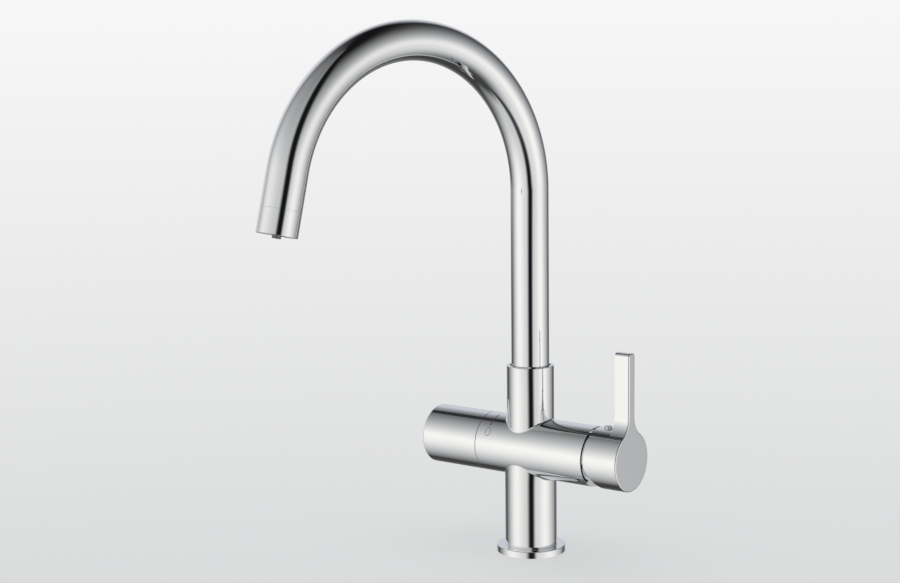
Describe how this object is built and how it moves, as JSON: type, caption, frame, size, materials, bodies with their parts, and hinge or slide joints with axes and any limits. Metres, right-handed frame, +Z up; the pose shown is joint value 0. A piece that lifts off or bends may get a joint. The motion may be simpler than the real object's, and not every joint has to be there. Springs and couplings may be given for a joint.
{
  "type": "kitchen tap",
  "caption": "Chromed deck-mounted kitchen tap with a swan-neck swivel spout, a side lever that mixes hot and cold, and a side knob for a separate filtered-water line.",
  "frame": {"origin": "middle of the base on the deck plane, at the mouth of the fixing stud hole, under the spout's swivel axis", "axes": "+Z up along the column and the swivel axis, +X along the barrel to the mixing lever, -Y to the user"},
  "size_m": [0.178, 0.2649, 0.4037],
  "materials": {
    "chrome": "polished chrome plate",
    "brass": "turned",
    "copper": "drawn copper tube",
    "steel": "stainless",
    "rubber": "matte black",
    "grey_plastic": "moulded",
    "white_plastic": "moulded",
    "ceramic": "lapped alumina ceramic"
  },
  "bodies": {
    "tap_body": {"main_body": "chrome", "column_tube": "chrome", "base_flange": "chrome", "base_seal": "rubber", "foot_block": "brass", "hot_riser": "copper", "cold_riser": "copper", "filter_riser": "copper", "distributor": "white_plastic", "thrust_ring": "grey_plastic", "slide_ring": "grey_plastic", "spout_stop_screw": "steel", "cartridge_base": "grey_plastic", "port_seals": "rubber", "mixer_fixed_disc": "ceramic", "cartridge_housing": "grey_plastic", "cartridge_nut": "brass", "cartridge_dome": "chrome", "valve_headwork": "brass", "seat_seal": "rubber", "filter_fixed_disc": "ceramic", "spindle_clip": "steel"},
    "spout": {"spout_tube": "chrome", "spout_spigot": "brass", "lower_spigot_seal": "rubber", "upper_spigot_seal": "rubber", "filter_line": "white_plastic", "outlet_sleeve": "chrome", "aerator": "white_plastic", "aerator_seal": "rubber", "filter_nozzle": "steel"},
    "rotor": {"mixer_rotor": "white_plastic", "pivot_pin": "steel"},
    "lever": {"lever_handle": "chrome", "lever_stem": "steel", "lever_screw": "steel", "screw_plug": "grey_plastic"},
    "mixing_disc": {"mixer_moving_disc": "ceramic", "disc_carrier": "white_plastic"},
    "knob": {"filter_knob": "chrome", "filter_spindle": "brass", "filter_moving_disc": "ceramic", "inner_spindle_seal": "rubber", "outer_spindle_seal": "rubber", "knob_screw": "steel"}
  },
  "joints": [
    {"name": "spout_swivel", "type": "hinge", "parent": "tap_body", "child": "spout", "pos_m": [0, 0, 0.1446], "axis": [0, 0, 1], "range_deg": [-62.9, 87.1]},
    {"name": "temperature_turn", "type": "hinge", "parent": "tap_body", "child": "rotor", "pos_m": [0.06, 0, 0.0812], "axis": [1, 0, 0], "range_deg": [-45, 45]},
    {"name": "lever_tilt", "type": "hinge", "parent": "rotor", "child": "lever", "pos_m": [0.06, 0, 0.0812], "axis": [0, 1, 0], "range_deg": [0, 25]},
    {"name": "disc_slide", "type": "slide", "parent": "rotor", "child": "mixing_disc", "axis": [0, 0, 1], "range_m": [0, 0.0038]},
    {"name": "filter_turn", "type": "hinge", "parent": "tap_body", "child": "knob", "pos_m": [-0.06, 0, 0.0812], "axis": [-1, 0, 0], "range_deg": [0, 90]}
  ],
  "couplings": [
    {"joint": "disc_slide", "follows": "lever_tilt", "m_per_rad": 0.00862}
  ]
}
